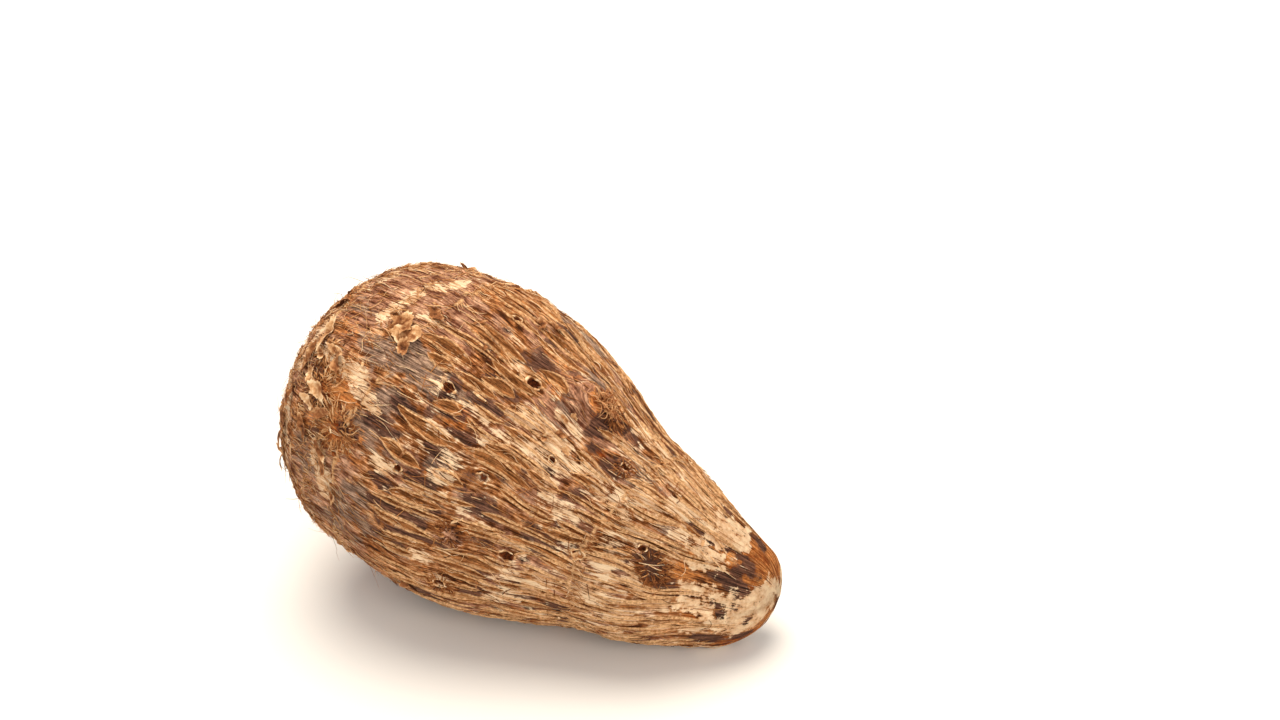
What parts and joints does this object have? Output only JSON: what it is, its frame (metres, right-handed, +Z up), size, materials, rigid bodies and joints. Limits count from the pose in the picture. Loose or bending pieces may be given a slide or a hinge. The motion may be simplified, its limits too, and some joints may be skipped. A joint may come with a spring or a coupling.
{
  "type": "taro root",
  "caption": "Pear-shaped taro root lying on its side, with wrinkled, fibrous brown skin, leaf-scar rings, root scars and a narrow blunt tip.",
  "frame": {"origin": "on the resting plane, under the middle of the corm's bounding box", "axes": "+X along the corm from the broad crown to the narrow root tip, +Z up, +Y to the left seen from the crown"},
  "size_m": [0.1176, 0.0692, 0.0809],
  "materials": {
    "skin": "dry fibrous corm skin, tan ridges over dark brown creases, dull"
  },
  "bodies": {
    "root": {"taro_corm": "skin"}
  },
  "joints": []
}
